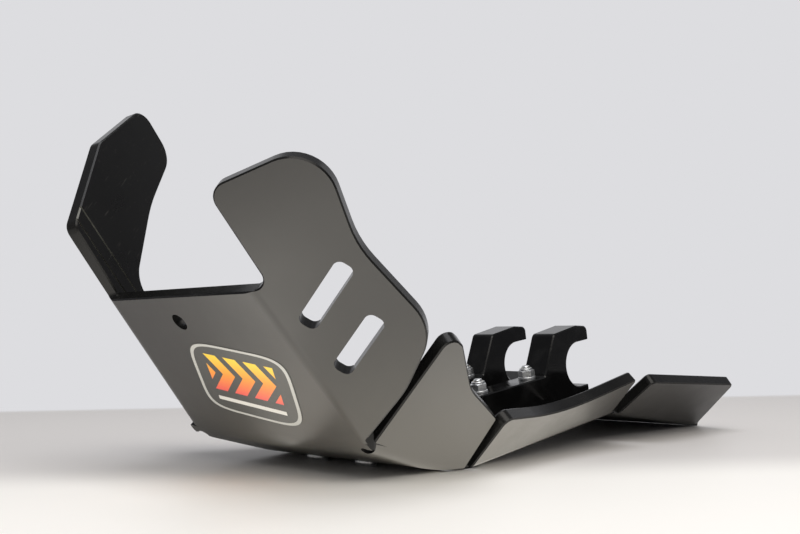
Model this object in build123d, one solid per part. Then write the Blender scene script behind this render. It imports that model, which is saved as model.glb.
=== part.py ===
from build123d import *
import os
from math import asin, cos, radians, sin, sqrt, tan

# Motorcycle skid plate, in millimetres, standing as it rests on a table.
# One plastic sheet is cut, slotted and folded: a front panel, a short nose, a base and a rear guard
# that covers the suspension linkage, with a wing or a flap folded up along each side of each of them.
# Two hooks bolted to the base slip onto a cross tube of the motorcycle's frame.
# +X is the riding direction, +Y the rider's left and +Z up. The sheet rests on its belly bend and on
# the rear end of the guard.

# Sheet
sheet_thickness = 8.0
edge_break = 0.8              # chamfer round the cut edges
# Radius of each bend on its hollow side
fold_radius = 5.0             # side folds
nose_radius = 17.0            # between front panel and nose
belly_radius = 142.0          # between nose and base
guard_radius = 14.0           # between base and guard, hollow below

# Panels in side view: length between the bends' corners, and rise from the table in degrees
front_length = 111.0
front_rise = 51.3
nose_length = 72.0
nose_rise = 15.9
base_length = 172.0
base_rise = 7.6
guard_length = 135.0

# Width between a panel's left and right fold lines, at its front and at its rear corner
front_widths = (148.0, 170.0)
nose_widths = (158.0, 147.0)
base_widths = (154.0, 136.0)
guard_widths = (136.0, 106.0)

# Angles by which the wings and flaps are folded up from their panels
left_wing_fold = 34.0
right_wing_fold = 64.0
nose_flap_fold = 47.0
base_flap_fold = 42.0
guard_flap_fold = 38.0

# Outlines of the wings and flaps: distance along the fold line, height over it and the corner's radius.
# The first list of each is measured from the fold line's front end, the second from its rear end.
left_wing_outline = ([(0, 9, 6), (-56, 12, 9), (-49, 74, 22), (5, 60, 55)],
                     [(-48.5, 68.5, 26), (-25, 36, 60), (-9, 0, 0)])
right_wing_outline = ([(0, 2, 3), (-50, 4, 7), (-71.5, 68, 9), (-65, 129, 13), (-26, 129, 15), (-17, 80, 110),
                       (10, 14, 16)],
                      [(-65.5, 46, 14), (-33.5, 47, 16), (-11, 0, 0)])
nose_flap_outline = ([(0, 0, 0), (-15.5, 85, 6), (-2.5, 82, 6), (29.5, 59, 40)],
                     [(-5.7, 47, 4), (9, 0, 0)])
base_flap_outline = ([(15, 0, 0), (11, 48, 5), (83, 30, 200)],
                     [(-12, 40, 3), (-4, 0, 0)])
guard_flap_outline = ([(7, 0, 0), (0, 37, 4)],
                      [(-28, 51, 5), (-4, 0, 0)])

# Cuts in the sheet
slot_width = 10.8
slot_corner = 4.0
slot_lean = 116.0             # angle of the slots to the fold line, in degrees
slots = [(20.0, 31.0, 41.5), (51.5, 30.0, 38.0)]   # centre along and over the fold line, and length
front_hole_diameter = 11.0
front_hole_drop = 18.0        # below the front panel's top edge
front_hole_offset = -11.5     # to the rider's right of the centre line
relief_diameter = 7.0         # holes that end the slits between neighbouring flaps
relief_inset = 3.5            # from the fold lines to those holes
bend_inset = 2.0              # from the ends of a flap's foot to the ends of its bend's hollow side
groove_heights = [9.0, 18.0]  # bend grooves on the wings' inner faces, over the fold line
groove_width = 1.2
groove_depth = 0.8

# Hooks, measured along the base from the belly bend's corner and up from the base's inner face
hook_width = 20.0
hook_spacing = 57.5           # between the two hooks' middles
tube_diameter = 32.0          # cross tube that the hooks hold
tube_along = 180.0
tube_height = 25.5            # middle of the tube
foot_front = 62.0
foot_height = 23.5
hook_front_foot = 138.5       # where the hook's front face leaves the foot
hook_front_top = 153.5
hook_tip = 192.0
hook_lip = 187.0
arm_thickness = 11.8          # of the arm over the tube, at its middle
arm_crown = 2.2               # fall of the arm's top towards its ends
hook_corner = 4.0             # radius of the arm's corners
hook_root = 1.5               # radius between the foot and the hook's front face

# Fasteners: M6 screws with wide low heads, plain washers and locking nuts
screw_diameter = 6.0
hole_clearance = 0.25         # round the shank in the sheet, the hooks and the washers
thread_clearance = 0.1        # round the shank in the nuts
head_diameter = 13.6
head_rim = 1.0                # height of the head's straight rim
head_top_diameter = 8.4
head_height = 2.4
socket_flats = 4.0
socket_depth = 1.6
washer_diameter = 12.0
washer_thickness = 1.6
nut_flats = 10.0
nut_height = 4.6
collar_diameter = 8.8
collar_top_diameter = 7.6
collar_height = 1.4           # over the nut's hexagon
screw_end = 1.5               # length of shank that shows past the nut
screw_pitch = 50.0            # between a hook's two screws
belly_screw_along = 161.5     # along the underside from the front panel's top edge
belly_screw_spacing = 46.0

room = 300.0                  # reach of cutting shapes, more than the sheet's half width
upright = (Align.CENTER, Align.CENTER, Align.MIN)


def panel_corners():
    # Corners of the outer face in side view, as (x, z), from the front panel's top to the guard's end.
    # The belly's round lowest line and the guard's end both come to rest at z = 0.
    half_sum = radians(nose_rise + base_rise) / 2
    half_difference = radians(nose_rise - base_rise) / 2
    lift = (belly_radius + sheet_thickness) * (cos(half_difference) / cos(half_sum) - 1)
    belly = Vector(0, -lift)
    nose = belly + Vector(cos(radians(nose_rise)), sin(radians(nose_rise))) * nose_length
    top = nose + Vector(cos(radians(front_rise)), sin(radians(front_rise))) * front_length
    base = belly + Vector(-cos(radians(base_rise)), sin(radians(base_rise))) * base_length
    guard_fall = asin(base.Y / guard_length)
    end = base + Vector(-cos(guard_fall), -sin(guard_fall)) * guard_length
    return [top, nose, belly, base, end]


def inward(start, stop):
    # Inner normal of a panel in side view, seen from its front end to its rear end
    along = (stop - start).normalized()
    return Vector(along.Y, -along.X)


def inner_corners(corners):
    # The same corners on the inner face
    normals = [inward(a, b) for a, b in zip(corners, corners[1:])]
    moved = [corners[0] + normals[0] * sheet_thickness]
    for corner, before, after in zip(corners[1:], normals, normals[1:]):
        moved.append(corner + (before + after) * (sheet_thickness / (1 + before.dot(after))))
    moved.append(corners[-1] + normals[-1] * sheet_thickness)
    return moved


def side_curve(points, radii):
    return FilletPolyline(*[(p.X, p.Y) for p in points], radius=radii)


def outer_radii():
    return [nose_radius + sheet_thickness, belly_radius + sheet_thickness, guard_radius]


def panel_strip():
    # The four panels and their bends: one thickness of sheet, wider than the folded part
    corners = panel_corners()
    outer = side_curve(corners, outer_radii())
    inner = side_curve(inner_corners(corners), [nose_radius, belly_radius, guard_radius + sheet_thickness])
    ends = Line(outer @ 0, inner @ 0) + Line(outer @ 1, inner @ 1)
    strip = extrude(Plane.XZ * make_face(outer + inner + ends), room, both=True)
    tips = [(outer @ place + inner @ place) / 2 for place in (0, 1)]
    end_faces = [strip.faces().sort_by_distance(Vector(tip.X, 0, tip.Y))[0] for tip in tips]
    rims = [edge for face in end_faces for edge in face.edges().filter_by(Axis.Y)]
    return chamfer(rims, edge_break)


def space_outside():
    # Everything in front of and below the panels' outer face
    corners = panel_corners()
    first = corners[0] + (corners[0] - corners[1]).normalized() * room
    last = corners[-1] + (corners[-1] - corners[-2]).normalized() * room
    curve = side_curve([first] + corners[1:-1] + [last], outer_radii())
    low = last.Y - room
    under = Polyline(curve @ 1, (last.X, low), (first.X, low), curve @ 0)
    return extrude(Plane.XZ * make_face(curve + under), room, both=True)


def fold_lines():
    # Front and rear end of each panel's left fold line on the outer face, from front to rear
    corners = panel_corners()
    widths = [front_widths, nose_widths, base_widths, guard_widths]
    lines = []
    for front, rear, (front_width, rear_width) in zip(corners, corners[1:], widths):
        lines.append((Vector(front.X, front_width / 2, front.Y), Vector(rear.X, rear_width / 2, rear.Y)))
    return lines


class Flap:
    # A wing or flap, described on the left side; side is -1 for one on the right

    def __init__(self, line, fold, outline, side):
        front, rear = line
        self.length = (rear - front).length
        self.fold = radians(fold)
        from_front, from_rear = outline
        self.outline = from_front + [(self.length + s, r, radius) for s, r, radius in from_rear]
        self.side = side
        self.along = (rear - front).normalized()
        self.panel_in = Vector(self.along.Z, 0, -self.along.X).normalized()
        self.across = self.along.cross(self.panel_in)
        away = self.across * cos(self.fold) + self.panel_in * sin(self.fold)
        self.plane = Plane(origin=front, x_dir=self.along, z_dir=self.along.cross(away))
        self.setback = (fold_radius + sheet_thickness) * tan(self.fold / 2)

    def placed(self, shape):
        return shape if self.side > 0 else mirror(shape, Plane.XZ)

    def face(self):
        # The outline, with a tongue below the fold line that ends inside the panel
        points = [(s, r) for s, r, radius in self.outline]
        tongue = [(points[-1][0], -sheet_thickness), (points[0][0], -sheet_thickness)]
        face = make_face(Polyline(*points, *tongue, close=True))
        for s, r, radius in self.outline:
            if radius:
                face = fillet(face.vertices().sort_by_distance(Vector(s, r))[0], radius)
        return face

    def body(self):
        body = extrude(self.face(), -sheet_thickness)
        rims = body.faces().filter_by(Axis.Z).edges()
        return self.plane * chamfer(rims, edge_break)

    def trim(self):
        # What lies outside the flap's outer face, beside the fold line
        return self.plane * Pos(self.length / 2, 0, room / 2) * Box(self.length, 2 * sheet_thickness, room)

    def section(self, stop):
        # Plane across the fold line at a distance along it: x across the panel, y inwards
        return Plane(origin=self.plane.origin + self.along * stop, x_dir=self.across, z_dir=-self.along)

    def arc(self, radius):
        # Arc of the bend in its section, from the panel to the flap
        middle = Vector(-self.setback, fold_radius + sheet_thickness)
        spots = [middle + Vector(sin(a), -cos(a)) * radius for a in (0, self.fold / 2, self.fold)]
        return ThreePointArc(*spots)

    def sharp_corner(self):
        # What the bend's round outer face leaves away from the sharp fold line
        arc = self.arc(fold_radius + sheet_thickness)
        clear = sheet_thickness / 2
        out = Vector(sin(self.fold), -cos(self.fold)) * clear
        corner = Vector(clear * tan(self.fold / 2), -clear)
        rest = Polyline(arc @ 1, (arc @ 1) + out, corner, (arc @ 0) + Vector(0, -clear), arc @ 0)
        low = [s for s, r, radius in self.outline if r < self.setback]
        first, last = min(low + [0]) - bend_inset, self.outline[-1][0] + bend_inset
        return extrude(self.section(last) * make_face(arc + rest), last - first)

    def bend(self):
        # The bend itself, one thickness of sheet, along the flap's foot
        first, last = self.outline[0][0] + bend_inset, self.outline[-1][0] - bend_inset
        outer = self.arc(fold_radius + sheet_thickness)
        inner = self.arc(fold_radius)
        ring = make_face(outer + inner + Line(outer @ 0, inner @ 0) + Line(outer @ 1, inner @ 1))
        return extrude(self.section(last) * ring, last - first)


def side_flaps():
    shared = [(nose_flap_fold, nose_flap_outline), (base_flap_fold, base_flap_outline),
              (guard_flap_fold, guard_flap_outline)]
    left = [(left_wing_fold, left_wing_outline)] + shared
    right = [(right_wing_fold, right_wing_outline)] + shared
    flaps = [Flap(line, fold, outline, 1) for line, (fold, outline) in zip(fold_lines(), left)]
    flaps += [Flap(line, fold, outline, -1) for line, (fold, outline) in zip(fold_lines(), right)]
    return flaps


def panel_plan():
    # The panels' outline from above, out to the widest fold line at each corner
    lines = fold_lines()
    first = lines[0][0] * 2 - lines[0][1]
    last = lines[-1][1] * 2 - lines[-1][0]
    edge = [(first.X, first.Y)]
    for (front, rear), (next_front, next_rear) in zip(lines, lines[1:]):
        edge.append((rear.X, max(rear.Y, next_front.Y)))
    edge.append((last.X, last.Y))
    other_edge = [(x, -y) for x, y in reversed(edge)]
    return extrude(make_face(Polyline(*edge, *other_edge, close=True)), room, both=True)


def relief_holes():
    # Round holes that end the slits between neighbouring flaps
    holes = []
    for (front, corner), (next_corner, rear) in zip(fold_lines(), fold_lines()[1:]):
        lengthwise = (rear - front).normalized()
        up = Vector(lengthwise.Z, 0, -lengthwise.X)
        spot = (corner + next_corner) / 2 - Vector(0, relief_inset, 0)
        hole = Plane(origin=spot, z_dir=up) * Cylinder(relief_diameter / 2, room)
        holes += [hole, mirror(hole, Plane.XZ)]
    return holes


def wing_slots(wing):
    # Cooling slots through a wing
    cutters = []
    for along, over, length in slots:
        outline = extrude(RectangleRounded(length, slot_width, slot_corner), 2 * sheet_thickness, both=True)
        cutters.append(wing.plane * Pos(along, over) * Rot(0, 0, slot_lean) * outline)
    return [wing.placed(cutter) for cutter in cutters]


def wing_grooves(wing):
    # Fine grooves along the fold in a wing's inner face, where the sheet was scored for bending
    last = wing.outline[-1][0]
    groove = Box(room, groove_width, 2 * groove_depth, align=(Align.MAX, Align.CENTER, Align.CENTER))
    return [wing.placed(wing.plane * Pos(last, over, -sheet_thickness) * groove) for over in groove_heights]


def front_hole():
    top, nose = panel_corners()[:2]
    down = (nose - top).normalized()
    middle = top + down * front_hole_drop
    spot = Vector(middle.X, front_hole_offset, middle.Y)
    return Plane(origin=spot, z_dir=(down.Y, 0, -down.X)) * Cylinder(front_hole_diameter / 2, room)


def folded_sheet():
    # The panels are trimmed to the fold lines, then the wings and flaps rise from them
    sheet = panel_strip() & panel_plan()
    outside = space_outside()
    flaps = side_flaps()
    for flap in flaps:
        sheet -= flap.placed(flap.trim())
    for flap in flaps:
        sheet += flap.placed(flap.body() - outside)
    for flap in flaps:
        sheet -= flap.placed(flap.sharp_corner())
        sheet += flap.placed(flap.bend() - outside)
    left_wing, right_wing = flaps[0], flaps[len(flaps) // 2]
    cuts = relief_holes() + wing_slots(left_wing) + wing_grooves(left_wing) + wing_grooves(right_wing)
    cuts += [front_hole()]
    cuts += [seat * screw_hole() for seat, grip in hook_seats() + belly_seats()]
    for cut in cuts:
        sheet -= cut
    return sheet


def base_frame(offset):
    # Side view of the base at a distance from the middle: x to the rear along it, y up from its inner face
    belly = panel_corners()[2]
    rise = radians(base_rise)
    origin = Vector(belly.X, offset, belly.Y) + Vector(sin(rise), 0, cos(rise)) * sheet_thickness
    return Plane(origin=origin, x_dir=(-cos(rise), 0, sin(rise)), z_dir=(0, 1, 0))


def hook_profile():
    # A long foot and a hook that opens to the rear round the cross tube
    radius = tube_diameter / 2
    arm_top = tube_height + radius + arm_thickness
    arm_end = arm_top - arm_crown
    solid = make_face(Polyline((foot_front, 0), (hook_lip, 0), (hook_lip, tube_height), (hook_tip, tube_height),
                               (hook_tip, arm_end), (tube_along, arm_top), (hook_front_top, arm_end),
                               (hook_front_foot, foot_height), (foot_front, foot_height), close=True))
    mouth = Pos(tube_along, tube_height) * (Circle(radius) + Pos(room / 2, 0) * Rectangle(room, tube_diameter))
    profile = solid - mouth
    rounded = [(hook_front_top, arm_end, hook_corner), (hook_tip, arm_end, hook_corner),
               (hook_front_foot, foot_height, hook_root)]
    for s, h, corner in rounded:
        profile = fillet(profile.vertices().sort_by_distance(Vector(s, h))[0], corner)
    return profile


def hook(side):
    # The hook with holes for its two screws; side is 1 for the rider's left and -1 for the right
    body = extrude(hook_profile(), hook_width / 2, both=True)
    body = chamfer(body.faces().filter_by(Axis.Z).edges(), edge_break)
    body = base_frame(side * hook_spacing / 2) * body
    for seat, grip in hook_seats():
        body -= seat * screw_hole()
    return body


def hook_seats():
    # Where each hook screw's head sits under the base, z up through the joint, with the joint's thickness
    rear_screw = hook_front_foot - hook_root - washer_diameter / 2
    seats = []
    for side in (1, -1):
        frame = base_frame(side * hook_spacing / 2)
        for along in (rear_screw, rear_screw - screw_pitch):
            spot = frame.from_local_coords(Vector(along, -sheet_thickness, 0))
            seats.append((Plane(origin=spot, x_dir=frame.x_dir, z_dir=frame.y_dir), sheet_thickness + foot_height))
    return seats


def belly_seats():
    # The same for the two belly screws, whose flat washers bridge the hollow of the belly bend
    underside = side_curve(panel_corners(), outer_radii())
    place = belly_screw_along / underside.length
    spot, along = underside @ place, underside % place
    bridge = belly_radius - sqrt(belly_radius ** 2 - (washer_diameter / 2) ** 2)
    seats = []
    for side in (1, -1):
        origin = Vector(spot.X, side * belly_screw_spacing / 2, spot.Y)
        seat = Plane(origin=origin, x_dir=(along.X, 0, along.Y), z_dir=(along.Y, 0, -along.X))
        seats.append((seat, sheet_thickness + bridge))
    return seats


def screw_hole():
    return Cylinder(screw_diameter / 2 + hole_clearance, room)


def screw(grip):
    # Head below z = 0 with a hex socket, shank through the joint, washer and nut
    length = grip + washer_thickness + nut_height + collar_height + screw_end
    shank = Cylinder(screw_diameter / 2, length, align=upright)
    crown = Cone(head_diameter / 2, head_top_diameter / 2, head_height - head_rim, align=upright)
    socket = extrude(RegularPolygon(socket_flats / 2, 6, major_radius=False), -socket_depth)
    head = Cylinder(head_diameter / 2, head_rim, align=upright) + Pos(0, 0, head_rim) * crown
    head -= Pos(0, 0, head_height) * socket
    return shank + Rot(180, 0, 0) * head


def washer():
    ring = Circle(washer_diameter / 2) - Circle(screw_diameter / 2 + hole_clearance)
    return extrude(ring, washer_thickness)


def lock_nut():
    # A hexagon with a round collar that holds the locking ring
    hexagon = extrude(RegularPolygon(nut_flats / 2, 6, major_radius=False), nut_height)
    collar = Cone(collar_diameter / 2, collar_top_diameter / 2, collar_height, align=upright)
    return hexagon + Pos(0, 0, nut_height) * collar - Cylinder(screw_diameter / 2 + thread_clearance, room)


def fasteners():
    # Screws of the hooks and of the belly, and the washers and nuts of them all
    hook_bolts = [seat * screw(grip) for seat, grip in hook_seats()]
    belly_bolts = [seat * screw(grip) for seat, grip in belly_seats()]
    seats = hook_seats() + belly_seats()
    washers = [seat * Pos(0, 0, grip) * washer() for seat, grip in seats]
    nuts = [seat * Pos(0, 0, grip + washer_thickness) * lock_nut() for seat, grip in seats]
    return hook_bolts, belly_bolts, washers, nuts


hook_bolts, belly_bolts, washers, lock_nuts = fasteners()
pieces = {
    "skid_plate": [folded_sheet()],
    "left_hook": [hook(1)],
    "right_hook": [hook(-1)],
    "hook_bolts": hook_bolts,
    "belly_bolts": belly_bolts,
    "washers": washers,
    "lock_nuts": lock_nuts,
}

# The origin is the middle of the whole part's footprint, on the table
box = Compound([solid for group in pieces.values() for solid in group]).bounding_box()
to_origin = Pos(-box.center().X, -box.center().Y, -box.min.Z)

os.makedirs("parts", exist_ok=True)
for name, group in pieces.items():
    placed = [to_origin * solid for solid in group]
    export_step(placed[0] if len(placed) == 1 else Compound(placed), f"parts/{name}.step")
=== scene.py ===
import bpy
import math
import numpy as np
from mathutils import Matrix, Vector
from mathutils.bvhtree import BVHTree


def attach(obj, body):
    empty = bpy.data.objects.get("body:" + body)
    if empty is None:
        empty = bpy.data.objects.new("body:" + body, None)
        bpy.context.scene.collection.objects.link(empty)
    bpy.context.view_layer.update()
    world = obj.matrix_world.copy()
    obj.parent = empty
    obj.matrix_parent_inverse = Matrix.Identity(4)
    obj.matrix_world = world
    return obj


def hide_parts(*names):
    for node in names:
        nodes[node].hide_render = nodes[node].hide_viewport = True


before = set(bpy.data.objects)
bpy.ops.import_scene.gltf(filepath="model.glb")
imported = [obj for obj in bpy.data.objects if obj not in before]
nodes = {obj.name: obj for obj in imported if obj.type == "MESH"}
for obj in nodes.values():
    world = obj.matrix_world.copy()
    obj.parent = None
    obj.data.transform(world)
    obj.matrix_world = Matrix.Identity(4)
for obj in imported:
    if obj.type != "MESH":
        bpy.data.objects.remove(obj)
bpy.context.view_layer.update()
mm = 0.001
noiseSpan = (0.3, 0.7)           # most of a noise's values lie between these
plasticIor = 1.5
print("frame loaded:", len(nodes), "nodes")


def linear(hexColour):
    # sRGB hex to linear light
    parts = [int(hexColour[i:i + 2], 16) / 255 for i in (1, 3, 5)]
    return tuple(c / 12.92 if c <= 0.04045 else ((c + 0.055) / 1.055) ** 2.4 for c in parts) + (1.0,)


def addNode(tree, kind, settings=None, **inputs):
    # one node with its settings; an input is named, or counted as i0, i1,
    # and takes a value or a socket to link from
    node = tree.nodes.new(kind)
    for name, value in (settings or {}).items():
        setattr(node, name, value)
    for name, value in inputs.items():
        counted = name[0] == "i" and name[1:].isdigit()
        socket = node.inputs[int(name[1:])] if counted else node.inputs[name.replace("_", " ")]
        if isinstance(value, bpy.types.NodeSocket):
            tree.links.new(value, socket)
        else:
            socket.default_value = value
    return node


def newMaterial(name):
    material = bpy.data.materials.new(name)
    material.use_nodes = True
    material.node_tree.nodes.clear()
    return material, material.node_tree


def ringFaces(rows, cols, closed=False):
    # quads of a grid whose columns run round a ring; closed also joins the last row to the first
    i, j = np.meshgrid(np.arange(rows if closed else rows - 1), np.arange(cols), indexing="ij")
    below, beside = (i + 1) % rows, (j + 1) % cols
    return np.stack([i * cols + j, i * cols + beside, below * cols + beside, below * cols + j], -1).reshape(-1, 4)


def addObject(name, points, faces, materials, sharpDegrees=35.0):
    # mesh from whole arrays, shaded smooth with its sharp edges kept
    mesh = bpy.data.meshes.new(name)
    mesh.from_pydata(points.tolist(), [], [list(face) for face in faces])
    mesh.shade_smooth()
    mesh.set_sharp_from_angle(angle=math.radians(sharpDegrees))
    for material in materials:
        mesh.materials.append(material)
    piece = bpy.data.objects.new(name, mesh)
    bpy.context.scene.collection.objects.link(piece)
    return piece


# Black polyethylene sheet, extruded, routed to shape and folded hot. Four finishes of one plastic: the road side
# is matt grey and paler towards the belly, partly scuffs and partly painted light from the bright table below;
# the engine side is satin black with a few hairlines, its colour painted darker as painted shade; the routed
# edges are black with tool streaks, and the scored bend grooves are painted paler, a painted highlight along
# them.
sheetLook = {
    "thickness": 8.0 * mm,
    "thicknessWithin": 0.3 * mm,
    "scored": 7.2 * mm,          # what is left of it under a bend groove
    "scoredWithin": 0.1 * mm,
    "leastSkin": 4e-5,           # square metres; a smaller group of faces is taken as routed edge
    "mostWall": 2e-4,            # square metres; a larger group beside a groove's bottom is no wall of it
    "smoothMeeting": 0.94,       # cosine of the angle up to which two faces meet smoothly
    "hazeMm": 45.0,
    "hazeRough": 0.62,           # weight of the haze's finer clouds
    "patches": (0.35, 0.68),     # haze between which an edge or a groove takes on its mark
    "grainMm": 0.6,
    "grainStrength": 0.15,
    "grainHeight": 0.1 * mm,
    "scuffMm": 1.1,              # width of a scuff, drawn coarser than real so that it shows
    "scuffLength": 40.0,         # times its width
    "scuffTurns": (0.5, -0.9),   # headings of the two sets of scuffs, radians
    "scuffLean": (0.6, 0.7),     # turn about x as a share of the heading, and turn about y, radians
    "scuffCut": (0.72, 0.78),    # noise at which a scuff begins and at which it is full
    "streakMm": 0.8,
    "belly": (0.06, 0.0),        # x and z of the line along the belly that drags on the ground
    "dragAndLightSpan": (0.03, 0.22),        # distances from it over which the painted light and scuffs thin out
    "heightCounts": 2,           # times, in those distances
    "border": 0.06,              # how far the clouds of the haze move its border
    # road side: its mark is the paler colour near the belly, painted light from the bright table below as well as
    # scuffs
    "road": {"colour": "#2b2a28", "mark": "#4c4a45", "roughness": (0.3, 0.42), "gloss": 0.55},
    # engine side: its colour is painted darker than the plastic is, painted shade on the side facing away from
    # the light; its mark is hairlines
    "engine": {"colour": "#121212", "mark": "#32312f", "roughness": (0.26, 0.38), "gloss": 0.12},
    "edge": {"colour": "#0c0c0c", "mark": "#1a1a19", "roughness": (0.16, 0.3), "gloss": 0.22},
    # scored grooves: colour and mark painted pale, a painted highlight along the bend lines
    "score": {"colour": "#4c4c47", "mark": "#6a6a64", "roughness": (0.35, 0.5), "gloss": 0.3},
}


def sheetMaterial(name, finish):
    look = sheetLook[finish]
    material, tree = newMaterial(name)
    place = addNode(tree, "ShaderNodeTexCoord").outputs["Object"]
    haze = addNode(tree, "ShaderNodeTexNoise", Vector=place, Scale=1 / (sheetLook["hazeMm"] * mm), Detail=5.0,
                   Roughness=sheetLook["hazeRough"]).outputs["Fac"]
    fineMm = sheetLook["streakMm" if finish == "edge" else "grainMm"]
    grain = addNode(tree, "ShaderNodeTexNoise", Vector=place, Scale=1 / (fineMm * mm),
                    Detail=2.0).outputs["Fac"]
    if finish == "road":         # paler along the belly, with a cloudy border: painted light from the table below, and scuffs
        (x, z), (near, far) = sheetLook["belly"], sheetLook["dragAndLightSpan"]
        tall, border = sheetLook["heightCounts"], sheetLook["border"]
        offset = addNode(tree, "ShaderNodeVectorMath", {"operation": "MULTIPLY_ADD"}, i0=place,
                         i1=(1, 0, tall), i2=(-x, 0, -tall * z)).outputs["Vector"]
        away = addNode(tree, "ShaderNodeVectorMath", {"operation": "LENGTH"}, i0=offset).outputs["Value"]
        cloudy = addNode(tree, "ShaderNodeMath", {"operation": "MULTIPLY_ADD"}, i0=haze, i1=-border,
                         i2=away).outputs["Value"]
        mark = addNode(tree, "ShaderNodeMapRange", {"interpolation_type": "SMOOTHSTEP"}, Value=cloudy,
                       From_Min=far - border / 2, From_Max=near - border / 2).outputs["Result"]
    elif finish == "engine":     # two crossing sets of hairlines, each a noise drawn out one way and cut off high
        lines = []
        aboutX, aboutY = sheetLook["scuffLean"]
        begins, full = sheetLook["scuffCut"]
        for turn in sheetLook["scuffTurns"]:
            drawn = addNode(tree, "ShaderNodeMapping", {"vector_type": "TEXTURE"}, Vector=place,
                            Rotation=(aboutX * turn, aboutY, turn),
                            Scale=(sheetLook["scuffLength"], 1.0, 1.0)).outputs["Vector"]
            line = addNode(tree, "ShaderNodeTexNoise", Vector=drawn, Scale=1 / (sheetLook["scuffMm"] * mm),
                           Detail=1.0).outputs["Fac"]
            lines.append(addNode(tree, "ShaderNodeMapRange", Value=line, From_Min=begins,
                                 From_Max=full).outputs["Result"])
        mark = addNode(tree, "ShaderNodeMath", {"operation": "MAXIMUM"}, i0=lines[0],
                       i1=lines[1]).outputs["Value"]
    else:                        # in cloudy patches
        begins, full = sheetLook["patches"]
        mark = addNode(tree, "ShaderNodeMapRange", Value=haze, From_Min=begins, From_Max=full).outputs["Result"]
    colour = addNode(tree, "ShaderNodeMix", {"data_type": "RGBA"}, Factor=mark, i6=linear(look["colour"]),
                     i7=linear(look["mark"])).outputs[2]
    rough = addNode(tree, "ShaderNodeMapRange", Value=haze, From_Min=noiseSpan[0], From_Max=noiseSpan[1],
                    To_Min=look["roughness"][0], To_Max=look["roughness"][1]).outputs["Result"]
    bump = addNode(tree, "ShaderNodeBump", Height=grain, Strength=sheetLook["grainStrength"],
                   Distance=sheetLook["grainHeight"]).outputs["Normal"]
    shader = addNode(tree, "ShaderNodeBsdfPrincipled", Base_Color=colour, Roughness=rough, Normal=bump,
                     IOR=plasticIor, Specular_IOR_Level=look["gloss"])
    addNode(tree, "ShaderNodeOutputMaterial", Surface=shader.outputs["BSDF"])
    return material


def buildSheet():
    # the CAD sheet with its points merged and its true normals kept; faces that meet smoothly are gathered, and
    # those with the sheet's own thickness behind them are its skins: road side below, engine side above
    source = nodes["skid_plate"].data
    loose = np.empty(len(source.vertices) * 3)
    source.vertices.foreach_get("co", loose)
    corner = np.empty(len(source.loops), int)
    source.loops.foreach_get("vertex_index", corner)
    normal = np.empty(len(source.loops) * 3)
    source.corner_normals.foreach_get("vector", normal)
    digits = 7                   # of a metre, to which points have to agree to be one
    points, index = np.unique(np.round(loose.reshape(-1, 3), digits), axis=0, return_inverse=True)
    faces = index.reshape(-1)[corner].reshape(-1, 3)
    normal = normal.reshape(-1, 3, 3)
    real = (faces != np.roll(faces, 1, 1)).all(1)
    faces, normal = faces[real], normal[real]
    count = len(faces)

    # each edge with its lower point first, its face, and the normals at its two points
    following = np.roll(faces, -1, 1)
    swap = (faces > following).reshape(-1)
    ends = np.sort(np.stack([faces.reshape(-1), following.reshape(-1)], -1), 1)
    owner = np.repeat(np.arange(count), 3)
    first, second = normal.reshape(-1, 3), np.roll(normal, -1, 1).reshape(-1, 3)
    low, high = np.where(swap[:, None], second, first), np.where(swap[:, None], first, second)
    order = np.lexsort((ends[:, 1], ends[:, 0]))
    a, b = order[:-1], order[1:]
    alike = [(end[a] * end[b]).sum(1) > sheetLook["smoothMeeting"] for end in (low, high)]
    smooth = (ends[a] == ends[b]).all(1) & alike[0] & alike[1]
    left, right = owner[a][smooth], owner[b][smooth]
    skin = np.arange(count)
    before = None
    while before is None or (before != skin).any():
        before = skin.copy()
        least = np.minimum(skin[left], skin[right])
        np.minimum.at(skin, left, least)
        np.minimum.at(skin, right, least)
        skin = skin[skin]

    p, q, r = (points[faces[:, n]] for n in range(3))
    spread = np.cross(q - p, r - p) / 2
    size = np.linalg.norm(spread, axis=1)
    area, upward = np.bincount(skin, size, count), np.bincount(skin, spread[:, 2], count)
    edge, road, engine, score = range(4)   # slots of the sheet's finishes
    finish = np.full(count, edge, np.int32)
    under = 0.01 * mm            # how far below its face a ray starts
    solid = BVHTree.FromPolygons(points.tolist(), faces.tolist())
    for number in np.flatnonzero(area > sheetLook["leastSkin"]):
        members = np.flatnonzero(skin == number)
        widest = members[np.argmax(size[members])]
        inward = -spread[widest] / size[widest]
        start = points[faces[widest]].mean(0) + inward * under
        thick = solid.ray_cast(Vector(start), Vector(inward))[3]
        if thick and abs(thick - sheetLook["thickness"]) < sheetLook["thicknessWithin"]:
            finish[members] = road if upward[number] < 0 else engine
        elif thick and abs(thick - sheetLook["scored"]) < sheetLook["scoredWithin"]:
            finish[members] = score
    # a groove's walls share an edge with its bottom
    touching = np.isin(faces, faces[finish == score]).sum(1) == 2
    beside = np.unique(skin[touching & (finish == edge)])
    finish[np.isin(skin, beside[area[beside] < sheetLook["mostWall"]])] = score
    shares = [round(float(size[finish == kind].sum()) * 1e4) for kind in range(4)]
    print("sheet, cm2: routed edges", shares[edge], "road side", shares[road], "engine side", shares[engine],
          "scored", shares[score])

    finishes = [sheetMaterial("routed_hdpe_edge", "edge"), sheetMaterial("hdpe_road_side_scuffs_and_painted_light", "road"),
                sheetMaterial("satin_hdpe_engine_side_painted_shade", "engine"), sheetMaterial("scored_hdpe_groove_painted_highlight", "score")]
    sheet = addObject("folded_sheet", points, faces, finishes)
    mesh = sheet.data
    mesh.polygons.foreach_set("material_index", finish)
    mesh.normals_split_custom_set(normal.reshape(-1, 3).tolist())
    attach(sheet, "root")
    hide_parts("skid_plate")


buildSheet()
print("sheet built")

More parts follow.
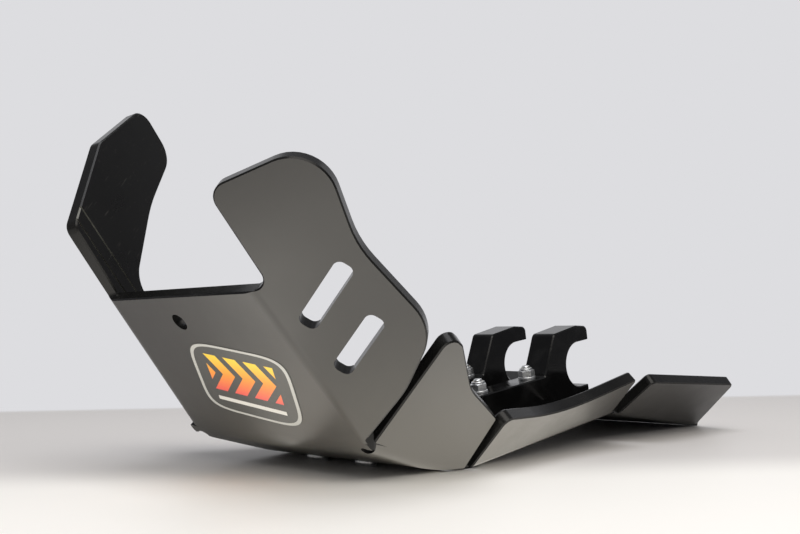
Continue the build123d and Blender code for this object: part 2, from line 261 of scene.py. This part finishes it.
# Thick blocks of the same plastic, sawn to shape and milled: black, with fine tool lines that catch the light
blockLook = {
    "colour": "#0b0b0b",
    "worn": "#161616",
    "wornFrom": (0.5, 0.75),     # patch noise between which the worn colour comes in
    "lineMm": 0.9,
    "lineDraw": 0.05,            # the tool lines run along x, where the noise is drawn out by this
    "lineStrength": 0.08,
    "lineHeight": 0.1 * mm,
    "patchMm": 12.0,
    "roughness": (0.08, 0.16),
    "gloss": 0.25,
}


def blockMaterial():
    material, tree = newMaterial("milled_black_hdpe_block")
    place = addNode(tree, "ShaderNodeTexCoord").outputs["Object"]
    drawn = addNode(tree, "ShaderNodeMapping", Vector=place,
                    Scale=(blockLook["lineDraw"], 1.0, 1.0)).outputs["Vector"]
    lines = addNode(tree, "ShaderNodeTexNoise", Vector=drawn, Scale=1 / (blockLook["lineMm"] * mm),
                    Detail=2.0).outputs["Fac"]
    patch = addNode(tree, "ShaderNodeTexNoise", Vector=place, Scale=1 / (blockLook["patchMm"] * mm),
                    Detail=4.0).outputs["Fac"]
    begins, full = blockLook["wornFrom"]
    share = addNode(tree, "ShaderNodeMapRange", Value=patch, From_Min=begins, From_Max=full).outputs["Result"]
    colour = addNode(tree, "ShaderNodeMix", {"data_type": "RGBA"}, Factor=share, i6=linear(blockLook["colour"]),
                     i7=linear(blockLook["worn"])).outputs[2]
    rough = addNode(tree, "ShaderNodeMapRange", Value=patch, From_Min=noiseSpan[0], From_Max=noiseSpan[1],
                    To_Min=blockLook["roughness"][0], To_Max=blockLook["roughness"][1]).outputs["Result"]
    bump = addNode(tree, "ShaderNodeBump", Height=lines, Strength=blockLook["lineStrength"],
                   Distance=blockLook["lineHeight"]).outputs["Normal"]
    shader = addNode(tree, "ShaderNodeBsdfPrincipled", Base_Color=colour, Roughness=rough, IOR=plasticIor,
                     Normal=bump, Specular_IOR_Level=blockLook["gloss"])
    addNode(tree, "ShaderNodeOutputMaterial", Surface=shader.outputs["BSDF"])
    return material


block = blockMaterial()
for name in ("left_hook", "right_hook"):
    mesh = nodes[name].data
    mesh.materials.clear()
    mesh.materials.append(block)
print("hooks finished")

# Steel fasteners, zinc plated: bright and a little cool, softly shining, with a fine plated grain
# and duller patches
zincLook = {
    "colour": "#e3e4e4",
    "dull": "#bcbebf",
    "dullFrom": (0.35, 0.7),     # patch noise between which the dull colour comes in
    "grainMm": 0.4,
    "patchMm": 3.0,
    "roughness": (0.34, 0.5),
}
# Ring of undyed nylon in the collar of a lock nut: cream, waxy, letting a little light in
nylonLook = {"colour": "#d8d4c6", "cloudMm": 1.5, "roughness": (0.35, 0.55), "ior": 1.53, "lightIn": 0.1}


def zincMaterial():
    material, tree = newMaterial("bright_zinc_plated_steel")
    place = addNode(tree, "ShaderNodeTexCoord").outputs["Object"]
    grain = addNode(tree, "ShaderNodeTexNoise", Vector=place, Scale=1 / (zincLook["grainMm"] * mm),
                    Detail=2.0).outputs["Fac"]
    patch = addNode(tree, "ShaderNodeTexNoise", Vector=place, Scale=1 / (zincLook["patchMm"] * mm),
                    Detail=3.0).outputs["Fac"]
    begins, full = zincLook["dullFrom"]
    share = addNode(tree, "ShaderNodeMapRange", Value=patch, From_Min=begins, From_Max=full).outputs["Result"]
    colour = addNode(tree, "ShaderNodeMix", {"data_type": "RGBA"}, Factor=share, i6=linear(zincLook["colour"]),
                     i7=linear(zincLook["dull"])).outputs[2]
    rough = addNode(tree, "ShaderNodeMapRange", Value=grain, From_Min=noiseSpan[0], From_Max=noiseSpan[1],
                    To_Min=zincLook["roughness"][0], To_Max=zincLook["roughness"][1]).outputs["Result"]
    shader = addNode(tree, "ShaderNodeBsdfPrincipled", Base_Color=colour, Metallic=1.0, Roughness=rough)
    addNode(tree, "ShaderNodeOutputMaterial", Surface=shader.outputs["BSDF"])
    return material


def nylonMaterial():
    material, tree = newMaterial("natural_nylon")
    place = addNode(tree, "ShaderNodeTexCoord").outputs["Object"]
    cloud = addNode(tree, "ShaderNodeTexNoise", Vector=place, Scale=1 / (nylonLook["cloudMm"] * mm),
                    Detail=2.0).outputs["Fac"]
    rough = addNode(tree, "ShaderNodeMapRange", Value=cloud, To_Min=nylonLook["roughness"][0],
                    To_Max=nylonLook["roughness"][1]).outputs["Result"]
    shader = addNode(tree, "ShaderNodeBsdfPrincipled", Base_Color=linear(nylonLook["colour"]), Roughness=rough,
                     IOR=nylonLook["ior"], Subsurface_Weight=nylonLook["lightIn"])
    addNode(tree, "ShaderNodeOutputMaterial", Surface=shader.outputs["BSDF"])
    return material


# Where the screws sit: under the sheet, with the axis leaning to the front by so many degrees, mm
seats = {
    "hook": {"spots": [(-60.019, 28.75, 14.517), (-10.458, 28.75, 7.904), (-60.019, -28.75, 14.517),
                       (-10.458, -28.75, 7.904)], "lean": 7.6, "grip": 31.5, "turns": (12, 40, 25, 3)},
    "belly": {"spots": [(89.929, 23.0, 3.278), (89.929, -23.0, 3.278)], "lean": -12.0, "grip": 8.127,
              "turns": (18, 47)},
}
# Sizes of the fasteners, mm; the small ones break edges
screwSize = {
    "shank": 3.0,
    "thread": 0.55,
    "pitch": 1.0,
    "pitchSteps": 10,
    "ridge": (1.3, 1.6),         # height and slope of the thread's ridge before its crest is cut flat
    "past": 2.6,                 # length of thread at the end
    "runIn": 0.1,
    "endCone": 0.7,
    "end": 1.5,                  # of the screw past its nut
    "head": 6.8,
    "crown": 4.2,
    "crownSteps": 7,
    "rim": 1.0,
    "headEdge": 0.15,
    "height": 2.3,
    "socket": 2.0,
    "socketDepth": 1.6,
    "socketEdge": 0.2,
    "around": 60,
    "sharp": 40.0,               # degrees from which an edge stays sharp
}
washerSize = {"inner": 3.25, "outer": 6.0, "thick": 1.6, "round": 0.35, "roundSteps": 5, "lowEdge": 0.1,
              "holeEdge": 0.2, "around": 72}
nutSize = {
    "flat": 5.0,
    "hex": 4.6,
    "chamfer": 4.75,
    "chamferDegrees": 30,
    "collar": 4.4,
    "collarTop": 3.8,
    "collarRound": 0.75,
    "collarSteps": 6,
    "tall": 6.0,
    "ring": 3.5,
    "ringSunk": 0.25,
    "ringFoot": 0.5,             # below the hexagon's top
    "bore": 3.1,
    "mouth": 0.35,
    "around": 72,
}
ringSharp = 30.0                 # the same for washers and nuts


def seatPoints(local, spot, lean, turn=0.0, rise=0.0):
    # points about a fastener's own axis, turned on it, raised along it and leant with its seat; mm to metres
    t, s = math.radians(lean), math.radians(turn)
    back, out = np.array([-math.cos(t), 0, math.sin(t)]), np.array([math.sin(t), 0, math.cos(t)])
    side = np.cross(out, back)
    x = local[..., 0] * math.cos(s) - local[..., 1] * math.sin(s)
    y = local[..., 0] * math.sin(s) + local[..., 1] * math.cos(s)
    z = local[..., 2] + rise
    return (np.array(spot) + x[..., None] * back + y[..., None] * side + z[..., None] * out).reshape(-1, 3) * mm


def hexRadius(angle, flat):
    # distance to a hexagon's side in each direction, corners at 0, 60 and so on
    return flat / np.cos(np.mod(angle, math.pi / 3) - math.pi / 6)


def ringSurface(radius, height, angle):
    # rows of radius and height, each the same all round or given for every angle, swept round the axis
    wide = np.broadcast_to(np.asarray(radius), (len(radius), len(angle)))
    tall = np.broadcast_to(np.asarray(height), (len(height), len(angle)))
    return np.stack([wide * np.cos(angle), wide * np.sin(angle), tall], -1)


def screwSurface(grip):
    # socket floor and wall, domed crown, rim, shank, then a thread whose ridge climbs one pitch in a turn
    size = screwSize
    angle = np.linspace(0, 2 * math.pi, size["around"], endpoint=False)
    even = np.ones_like(angle)
    hexagon = hexRadius(angle, size["socket"])
    floor = -size["height"] + size["socketDepth"]
    arc = np.linspace(0, math.pi / 2, size["crownSteps"])
    crownRadius = size["crown"] + (size["head"] - size["crown"]) * np.sin(arc)
    crownHeight = -size["rim"] - (size["height"] - size["rim"]) * np.cos(arc)
    rows = [(hexagon, floor), (hexagon, -size["height"] + size["socketEdge"]),
            (hexagon + size["socketEdge"], -size["height"])]
    rows += list(zip(crownRadius, crownHeight))
    rows += [(size["head"], -size["headEdge"]), (size["head"] - size["headEdge"], 0.0), (size["shank"], 0.0)]
    top = grip + washerSize["thick"] + nutSize["tall"] + size["end"]
    climb = np.arange(top - size["past"], top + 1e-6, size["pitch"] / size["pitchSteps"])   # up to the top itself
    rows += [(size["shank"], climb[0] - size["runIn"])]
    phase = np.mod(climb[:, None] / size["pitch"] - angle / (2 * math.pi), 1.0)
    tall, slope = size["ridge"]
    ridge = np.clip(tall - slope * np.abs(2 * phase - 1), 0, 1)
    taper = np.clip((top - climb) / size["endCone"], 0, 1)[:, None]   # the end is cut to a cone
    thread = size["shank"] - size["thread"] * np.maximum(1 - ridge, 1 - taper)
    radius = np.concatenate([np.stack([r * even for r, h in rows]), thread])
    height = np.concatenate([np.stack([h * even for r, h in rows]), climb[:, None] * even])
    return ringSurface(radius, height, angle)


def washerSurface():
    # ring with a sharp lower rim and a rounded upper one, as stamping leaves it
    size = washerSize
    inner, outer, thick, low, hole = (size[name] for name in ("inner", "outer", "thick", "lowEdge", "holeEdge"))
    arc = np.linspace(0, math.pi / 2, size["roundSteps"])
    radius = np.concatenate([[inner + low, outer - low, outer], outer - size["round"] * (1 - np.cos(arc)),
                             [inner + hole, inner, inner]])
    height = np.concatenate([[0, 0, low], thick - size["round"] * (1 - np.sin(arc)), [thick, thick - hole, low]])
    angle = np.linspace(0, 2 * math.pi, size["around"], endpoint=False)
    return ringSurface(radius[:, None], height[:, None], angle)


def nutSurface():
    # hexagon whose corners are turned off to a cone at both ends, then the collar and the ring inside it
    size = nutSize
    angle = np.linspace(0, 2 * math.pi, size["around"], endpoint=False)
    even = np.ones_like(angle)
    hexagon = hexRadius(angle, size["flat"])
    cone = (hexagon - size["chamfer"]) * math.tan(math.radians(size["chamferDegrees"]))
    arc = np.linspace(0, math.pi / 2, size["collarSteps"])
    shoulder = size["tall"] - size["collarRound"]
    rows = [(size["bore"] + size["mouth"], 0.0), (size["chamfer"], 0.0), (hexagon, cone),
            (hexagon, size["hex"] - cone), (size["chamfer"], size["hex"]), (size["collar"], size["hex"]),
            (size["collar"], shoulder)]
    rows += list(zip(size["collarTop"] + (size["collar"] - size["collarTop"]) * np.cos(arc),
                     shoulder + (size["tall"] - shoulder) * np.sin(arc)))
    rows += [(size["ring"], size["tall"])]
    ringStart = len(rows) - 1
    sunk = size["tall"] - size["ringSunk"]
    rows += [(size["ring"], sunk), (size["bore"], sunk), (size["bore"], size["hex"] - size["ringFoot"]),
             (size["bore"], size["mouth"])]
    radius, height = (np.stack([row[n] * even for row in rows]) for n in range(2))
    surface = ringSurface(radius, height, angle)
    return surface, ringStart


def buildFasteners():
    zinc, nylon = zincMaterial(), nylonMaterial()
    for kind, node in (("hook", "hook_bolts"), ("belly", "belly_bolts")):
        seat = seats[kind]
        surface = screwSurface(seat["grip"])
        rows, cols = surface.shape[:2]
        ends = np.arange(cols)[::-1], np.arange((rows - 1) * cols, rows * cols)
        single = [ends[0]] + list(ringFaces(rows, cols)) + [ends[1]]
        parts = [seatPoints(surface, spot, seat["lean"], turn)
                 for spot, turn in zip(seat["spots"], seat["turns"])]
        faces = [face + n * rows * cols for n in range(len(parts)) for face in single]
        piece = addObject(kind + "_screws", np.concatenate(parts), faces, [zinc], screwSize["sharp"])
        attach(piece, "root")
        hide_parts(node)
    nut, ringStart = nutSurface()
    rings = (("plain_washers", "washers", washerSurface(), 0.0, [zinc]),
             ("locking_nuts", "lock_nuts", nut, washerSize["thick"], [zinc, nylon]))
    for name, node, surface, lift, materials in rings:
        rows, cols = surface.shape[:2]
        parts = [seatPoints(surface, spot, seat["lean"], turn, seat["grip"] + lift) for seat in seats.values()
                 for spot, turn in zip(seat["spots"], seat["turns"])]
        single = ringFaces(rows, cols, closed=True)
        faces = np.concatenate([single + n * rows * cols for n in range(len(parts))])
        piece = addObject(name, np.concatenate(parts), faces, materials, ringSharp)
        if node == "lock_nuts":
            row = np.tile(np.arange(rows * cols) // cols, len(parts))
            inRing = (row >= ringStart) & (row < ringStart + 2)   # its wall and its top
            piece.data.polygons.foreach_set("material_index", inRing.astype(np.int32))
        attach(piece, "root")
        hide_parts(node)


buildFasteners()
print("fasteners built")

# Printed vinyl sticker on the front panel, with a plain design of arrowheads: smooth, thin and glossy.
# Its place is measured down the panel from the top edge and to the rider's left, mm.
stickerLook = {
    "centre": (64.0, 10.0),
    "half": (42.0, 29.0),
    "along": (0.174, 0.985),     # directions of its sides: down the panel, and to the rider's left
    "slant": (0.912, -0.41),
    "thick": 0.15,
    "lift": 0.02,                # over the panel
    "corner": 5.0,               # power of the rounded outline
    "around": 160,
    "rings": 24,
    "innermost": 0.04,           # share of the outline at which the rings begin
    "field": "#454542",
    "line": "#b4b4af",
    "lineAt": (0.955, 0.03),     # share of the outline, and how far to each side of it
    "bar": "#d6d4ce",
    "barAt": (17.5, 1.6),        # distance down from the middle, and how far to each side of it
    "warm": ("#f4cf3a", "#f2962f", "#e4544f"),
    "warmFrom": (-20.0, 10.0),   # distances down between which these follow each other
    "pitchMm": 17.0,
    "arrowShare": 0.62,          # of the pitch that is printed
    "arrowSlope": 0.8,
    "arrowsUp": 5.0,             # from the sticker's middle to their middle line
    "arrowsHalf": (29.0, 15.0),  # half width and half height of their block
    "grainMm": 2.0,
    "roughness": (0.26, 0.42),
}
panelTop = (208.478, 103.544)  # x and z of the panel's top and lower corners in side view, mm
panelFoot = (139.076, 16.916)


def stickerMaterial():
    look = stickerLook
    material, tree = newMaterial("printed_vinyl")
    spot = addNode(tree, "ShaderNodeAttribute", {"attribute_name": "printPlace"}).outputs["Vector"]
    axes = addNode(tree, "ShaderNodeSeparateXYZ", Vector=spot).outputs
    across, down, rim = axes["X"], axes["Y"], axes["Z"]
    # arrowheads: the distance across, drawn back by the distance from the middle line, repeats with the pitch
    halfWidth, halfHeight = look["arrowsHalf"]
    middle = addNode(tree, "ShaderNodeMath", {"operation": "ADD"}, i0=down, i1=look["arrowsUp"]).outputs["Value"]
    bend = addNode(tree, "ShaderNodeMath", {"operation": "ABSOLUTE"}, i0=middle).outputs["Value"]
    drawn = addNode(tree, "ShaderNodeMath", {"operation": "MULTIPLY_ADD"}, i0=bend, i1=look["arrowSlope"],
                    i2=across).outputs["Value"]
    turns = addNode(tree, "ShaderNodeMath", {"operation": "DIVIDE"}, i0=drawn,
                    i1=look["pitchMm"]).outputs["Value"]
    part = addNode(tree, "ShaderNodeMath", {"operation": "FRACT"}, i0=turns).outputs["Value"]
    bar = addNode(tree, "ShaderNodeMath", {"operation": "LESS_THAN"}, i0=part,
                  i1=look["arrowShare"]).outputs["Value"]
    inBand = addNode(tree, "ShaderNodeMath", {"operation": "LESS_THAN"}, i0=bend, i1=halfHeight).outputs["Value"]
    reach = addNode(tree, "ShaderNodeMath", {"operation": "ABSOLUTE"}, i0=across).outputs["Value"]
    inWidth = addNode(tree, "ShaderNodeMath", {"operation": "LESS_THAN"}, i0=reach, i1=halfWidth).outputs["Value"]
    inBlock = addNode(tree, "ShaderNodeMath", {"operation": "MULTIPLY"}, i0=inBand, i1=inWidth).outputs["Value"]
    arrows = addNode(tree, "ShaderNodeMath", {"operation": "MULTIPLY"}, i0=bar, i1=inBlock).outputs["Value"]
    fall = addNode(tree, "ShaderNodeMapRange", Value=down, From_Min=look["warmFrom"][0],
                   From_Max=look["warmFrom"][1]).outputs["Result"]
    warm = addNode(tree, "ShaderNodeValToRGB", Fac=fall)
    warm.color_ramp.elements.new(0.5)
    for element, colour in zip(warm.color_ramp.elements, look["warm"]):
        element.color = linear(colour)
    # one pale bar below them, and a line inside the rim
    low = addNode(tree, "ShaderNodeMath", {"operation": "COMPARE"}, i0=down, i1=look["barAt"][0],
                  i2=look["barAt"][1]).outputs["Value"]
    inRow = addNode(tree, "ShaderNodeMath", {"operation": "MULTIPLY"}, i0=low, i1=inWidth).outputs["Value"]
    edge = addNode(tree, "ShaderNodeMath", {"operation": "COMPARE"}, i0=rim, i1=look["lineAt"][0],
                   i2=look["lineAt"][1]).outputs["Value"]
    colour = linear(look["field"])
    inks = ((arrows, warm.outputs["Color"]), (inRow, linear(look["bar"])), (edge, linear(look["line"])))
    for share, ink in inks:
        colour = addNode(tree, "ShaderNodeMix", {"data_type": "RGBA"}, Factor=share, i6=colour, i7=ink).outputs[2]
    grain = addNode(tree, "ShaderNodeTexNoise", Vector=spot, Scale=1 / look["grainMm"], Detail=3.0).outputs["Fac"]
    rough = addNode(tree, "ShaderNodeMapRange", Value=grain, To_Min=look["roughness"][0],
                    To_Max=look["roughness"][1]).outputs["Result"]
    shader = addNode(tree, "ShaderNodeBsdfPrincipled", Base_Color=colour, Roughness=rough, IOR=plasticIor)
    addNode(tree, "ShaderNodeOutputMaterial", Surface=shader.outputs["BSDF"])
    return material


def buildSticker():
    # rounded outline |a/A|^n + |b/B|^n = 1 filled from its middle, a top and a bottom face joined at the rim
    look = stickerLook
    angle = np.linspace(0, 2 * math.pi, look["around"], endpoint=False)
    share = np.linspace(look["innermost"], 1.0, look["rings"])
    power = look["corner"]
    ring = (np.abs(np.cos(angle)) ** power + np.abs(np.sin(angle)) ** power) ** (-1 / power)
    fill = np.concatenate([share, share[::-1]])
    level = np.concatenate([np.full(len(share), look["thick"]), np.zeros(len(share))])
    across = np.outer(fill, ring * np.cos(angle)) * look["half"][0]
    down = np.outer(fill, ring * np.sin(angle)) * look["half"][1]
    rim = np.repeat(fill[:, None], len(angle), 1)
    top, foot = (np.array([x, 0, z]) for x, z in (panelTop, panelFoot))
    fall = (foot - top) / np.linalg.norm(foot - top)
    aside = np.array([0, 1.0, 0])
    out = np.cross(fall, aside)
    along, slope = (fall * look[side][0] + aside * look[side][1] for side in ("along", "slant"))
    centre = top + fall * look["centre"][0] + aside * look["centre"][1]
    points = (centre + across[..., None] * along + down[..., None] * slope
              + (level + look["lift"])[:, None, None] * out).reshape(-1, 3) * mm
    rows, cols = rim.shape
    ends = np.arange(cols)[::-1], np.arange((rows - 1) * cols, rows * cols)
    faces = [ends[0]] + list(ringFaces(rows, cols)) + [ends[1]]
    sticker = addObject("sticker", points, faces, [stickerMaterial()])
    place = np.stack([across, down, rim], -1).reshape(-1)
    sticker.data.attributes.new("printPlace", "FLOAT_VECTOR", "POINT").data.foreach_set("vector", place)
    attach(sticker, "root")


buildSticker()
print("sticker built")

# Stage: a pale table, darker towards the back with painted shade, that ends in a straight line behind the part
# and fades out elsewhere, and a wall all round that is palest behind the part
stageLook = {
    "table": "#f7f5f0",
    "tableBackPaintedShade": "#d6d3d0",
    "tableTurn": (-0.15, -0.05),   # distances along the view over which it changes to its painted shade at the back
    "tableEnd": (0.395, 0.435),    # distances along the view over which it ends behind the part
    "tableEdge": (0.9, 1.3),       # distances from the middle over which it turns into the wall elsewhere
    "back": "#dddde0",
    "sides": "#7c7c80",
    "backFrom": (0.525, 0.514),    # the point from which the pale part of the wall lies at this heading
    "backAt": 226.4,
    "backSpread": (25.0, 42.0),
    "fill": "#b0b0b2",
    "tableRoughness": 0.5,
    "floorRings": (0.1, 0.5, 1.0, 1.6),
    "floorRadius": 2.4,
    "bend": 0.8,
    "bendSteps": 17,
    "wallHeight": 2.2,
    "around": 96,
}


def buildStage():
    # surface of revolution: flat out to the bend, a quarter circle, then straight up
    look = stageLook
    turn = np.linspace(0, math.pi / 2, look["bendSteps"])
    radius = np.concatenate([look["floorRings"], look["floorRadius"] + look["bend"] * np.sin(turn),
                             [look["floorRadius"] + look["bend"]]])
    height = np.concatenate([np.zeros(len(look["floorRings"])), look["bend"] * (1 - np.cos(turn)),
                             [look["bend"] + look["wallHeight"]]])
    angle = np.linspace(0, -2 * math.pi, look["around"], endpoint=False)
    surface = ringSurface(radius[:, None], height[:, None], angle)
    rows, cols = surface.shape[:2]
    material, tree = newMaterial("pale_table_and_wall")
    faces = [np.arange(cols)[::-1]] + list(ringFaces(rows, cols))
    stage = addObject("stage", surface.reshape(-1, 3), faces, [material])
    place = addNode(tree, "ShaderNodeTexCoord").outputs["Object"]
    away = addNode(tree, "ShaderNodeVectorMath", {"operation": "LENGTH"}, i0=place).outputs["Value"]
    around = addNode(tree, "ShaderNodeMapRange", {"interpolation_type": "SMOOTHSTEP"}, Value=away,
                     From_Min=look["tableEdge"][0], From_Max=look["tableEdge"][1]).outputs["Result"]
    x, y = look["backFrom"]
    level = addNode(tree, "ShaderNodeVectorMath", {"operation": "MULTIPLY_ADD"}, i0=place, i1=(1, 1, 0),
                    i2=(-x, -y, 0)).outputs["Vector"]
    heading = addNode(tree, "ShaderNodeVectorMath", {"operation": "NORMALIZE"}, i0=level).outputs["Vector"]
    at, spread = math.radians(look["backAt"]), [math.cos(math.radians(d)) for d in look["backSpread"]]
    facing = addNode(tree, "ShaderNodeVectorMath", {"operation": "DOT_PRODUCT"}, i0=heading,
                     i1=(math.cos(at), math.sin(at), 0)).outputs["Value"]
    behind = addNode(tree, "ShaderNodeMapRange", {"interpolation_type": "SMOOTHSTEP"}, Value=facing,
                     From_Min=spread[1], From_Max=spread[0]).outputs["Result"]
    wallColour = addNode(tree, "ShaderNodeMix", {"data_type": "RGBA"}, Factor=behind, i6=linear(look["sides"]),
                         i7=linear(look["back"])).outputs[2]
    # the wall shows at its written colour to the eye and in gloss, and fills the room with one even light
    rays = addNode(tree, "ShaderNodeLightPath").outputs
    seen = addNode(tree, "ShaderNodeMath", {"operation": "ADD", "use_clamp": True}, i0=rays["Is Camera Ray"],
                   i1=rays["Is Glossy Ray"]).outputs["Value"]
    shown = addNode(tree, "ShaderNodeMath", {"operation": "ADD", "use_clamp": True}, i0=seen,
                    i1=rays["Is Transmission Ray"]).outputs["Value"]
    glow = addNode(tree, "ShaderNodeMix", {"data_type": "RGBA"}, Factor=shown, i6=linear(look["fill"]),
                   i7=wallColour).outputs[2]
    wall = addNode(tree, "ShaderNodeEmission", Color=glow).outputs["Emission"]
    depth = addNode(tree, "ShaderNodeVectorMath", {"operation": "DOT_PRODUCT"}, i0=place,
                    i1=(math.cos(at), math.sin(at), 0)).outputs["Value"]
    # the table is pale in front and darker further back: painted shade beside a lit front
    far = addNode(tree, "ShaderNodeMapRange", {"interpolation_type": "SMOOTHSTEP"}, Value=depth,
                  From_Min=look["tableTurn"][0], From_Max=look["tableTurn"][1]).outputs["Result"]
    tableColour = addNode(tree, "ShaderNodeMix", {"data_type": "RGBA"}, Factor=far, i6=linear(look["table"]),
                          i7=linear(look["tableBackPaintedShade"])).outputs[2]
    beyond = addNode(tree, "ShaderNodeMapRange", {"interpolation_type": "SMOOTHSTEP"}, Value=depth,
                     From_Min=look["tableEnd"][0], From_Max=look["tableEnd"][1]).outputs["Result"]
    share = addNode(tree, "ShaderNodeMath", {"operation": "MAXIMUM"}, i0=around, i1=beyond).outputs["Value"]
    table = addNode(tree, "ShaderNodeBsdfPrincipled", Base_Color=tableColour,
                    Roughness=look["tableRoughness"]).outputs["BSDF"]
    both = addNode(tree, "ShaderNodeMixShader", Fac=share, i1=table, i2=wall).outputs["Shader"]
    addNode(tree, "ShaderNodeOutputMaterial", Surface=both)


buildStage()
print("stage built")

# Soft light: a large window behind the camera, a panel overhead, a dim room, and two cards that lie on the table
# before the part and throw light up at it; the camera sees none of these lamps
lights = {
    "window": {"spot": (0.6, 1.05, 1.25), "aim": (0.1, 0.15, 0.0), "size": (1.8, 1.0), "watts": 18.5,
               "colour": "#fffaf3"},
    "overhead": {"spot": (0.2, 0.2, 1.9), "aim": (0.2, 0.2, 0.0), "size": (1.2, 1.2), "watts": 15.0,
                 "colour": "#fbfbff"},
    "sideCard": {"spot": (0.13, 0.194, 0.001), "aim": (0.13, 0.194, 1.0), "size": (0.44, 0.252), "watts": 0.34,
                 "colour": "#fffaf0"},
    "frontCard": {"spot": (0.2813, -0.009, 0.001), "aim": (0.28123, -0.00907, 0.101), "size": (0.22, 0.225),
                  "watts": 0.151, "colour": "#fffaf0"},
}
roomLight = {"colour": "#e8e9ee", "strength": 0.3}


def buildLights():
    for name, look in lights.items():
        lamp = bpy.data.lights.new(name, "AREA")
        lamp.shape = "RECTANGLE"
        lamp.size, lamp.size_y = look["size"]
        lamp.energy = look["watts"]
        lamp.color = linear(look["colour"])[:3]
        holder = bpy.data.objects.new(name, lamp)
        holder.location = look["spot"]
        holder.rotation_euler = (Vector(look["aim"]) - Vector(look["spot"])).to_track_quat("-Z", "Y").to_euler()
        holder.visible_camera = False
        bpy.context.scene.collection.objects.link(holder)
    world = bpy.data.worlds.new("room")
    world.use_nodes = True
    background = world.node_tree.nodes["Background"]
    background.inputs["Color"].default_value = linear(roomLight["colour"])
    background.inputs["Strength"].default_value = roomLight["strength"]
    bpy.context.scene.world = world


buildLights()
print("lights set")

# Camera where the photograph was taken from, for an image of 800 by 534
view = {"spot": (0.524764, 0.513583, 0.087760), "yaw": 46.438, "pitch": 2.855, "roll": -1.191, "focalPx": 1076.84,
        "imageWidth": 800, "sensor": 36.0, "clip": (0.01, 20.0)}


def buildCamera():
    yaw, pitch, roll = (math.radians(view[name]) for name in ("yaw", "pitch", "roll"))
    ahead = Vector((-math.cos(pitch) * math.cos(yaw), -math.cos(pitch) * math.sin(yaw), math.sin(pitch)))
    level = ahead.cross(Vector((0, 0, 1))).normalized()
    above = level.cross(ahead)
    right = level * math.cos(roll) + above * math.sin(roll)
    up = above * math.cos(roll) - level * math.sin(roll)
    data = bpy.data.cameras.new("camera")
    data.sensor_width = view["sensor"]
    data.lens = view["focalPx"] / view["imageWidth"] * view["sensor"]
    data.clip_start, data.clip_end = view["clip"]
    camera = bpy.data.objects.new("camera", data)
    axes = Matrix((right, up, -ahead)).transposed().to_4x4()
    camera.matrix_world = Matrix.Translation(view["spot"]) @ axes
    bpy.context.scene.collection.objects.link(camera)
    bpy.context.scene.camera = camera


buildCamera()
bpy.context.scene.view_settings.view_transform = "Standard"
print("camera set")
